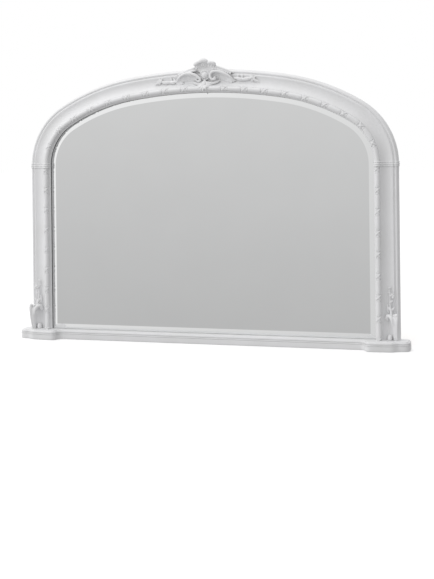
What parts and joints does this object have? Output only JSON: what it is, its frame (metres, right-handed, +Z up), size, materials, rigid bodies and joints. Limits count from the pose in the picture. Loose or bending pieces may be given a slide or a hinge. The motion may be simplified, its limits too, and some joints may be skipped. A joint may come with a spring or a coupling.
{
  "type": "overmantel mirror",
  "caption": "Arched overmantel mirror in a white moulded frame with reed-and-ribbon edge, shell crest, leaf feet and a stepped breakfront base.",
  "frame": {"origin": "middle of the bounding box in X and Y, on the underside of the base", "axes": "+X to the right seen from the front, +Y towards the wall, +Z up; the glass faces -Y"},
  "size_m": [1.256, 0.0774, 0.8946],
  "materials": {
    "painted_frame": "satin white paint on moulded timber",
    "painted_ornament": "satin white paint on moulded composition ornament",
    "silvered_glass": "silvered float glass with a wide polished bevel",
    "black_foam": "black foam tape and setting blocks",
    "hardboard": "brown hardboard",
    "bare_wood": "unfinished softwood and beech",
    "zinc_steel": "zinc-plated steel"
  },
  "bodies": {
    "frame": {"base_board": "painted_frame", "base_moulding": "painted_frame", "left_column": "painted_frame", "right_column": "painted_frame", "left_corner": "painted_frame", "right_corner": "painted_frame", "left_shoulder": "painted_frame", "right_shoulder": "painted_frame", "head_crown": "painted_frame", "left_collar": "painted_frame", "right_collar": "painted_frame", "left_arch_ties": "painted_ornament", "right_arch_ties": "painted_ornament", "left_ties": "painted_ornament", "right_ties": "painted_ornament", "crest_shell": "painted_ornament", "crest_boss": "painted_ornament", "crest_left_scroll": "painted_ornament", "crest_right_scroll": "painted_ornament", "crest_left_spray": "painted_ornament", "crest_right_spray": "painted_ornament", "crest_pendant": "painted_ornament", "left_leaf_foot": "painted_ornament", "right_leaf_foot": "painted_ornament", "mirror_glass": "silvered_glass", "glazing_tape": "black_foam", "setting_blocks": "black_foam", "backing_board": "hardboard", "backing_screws": "zinc_steel", "bottom_batten": "bare_wood", "batten_screws": "zinc_steel", "joint_dowels": "bare_wood", "base_screws": "zinc_steel", "left_strap": "zinc_steel", "right_strap": "zinc_steel", "strap_screws": "zinc_steel"},
    "left_ring": {"left_ring": "zinc_steel"},
    "right_ring": {"right_ring": "zinc_steel"}
  },
  "joints": [
    {"name": "left_ring_hinge", "type": "hinge", "parent": "frame", "child": "left_ring", "pos_m": [-0.5685, 0.03567, 0.5], "axis": [1, 0, 0], "range_deg": [0, 180]},
    {"name": "right_ring_hinge", "type": "hinge", "parent": "frame", "child": "right_ring", "pos_m": [0.5685, 0.03567, 0.5], "axis": [1, 0, 0], "range_deg": [0, 180]}
  ]
}
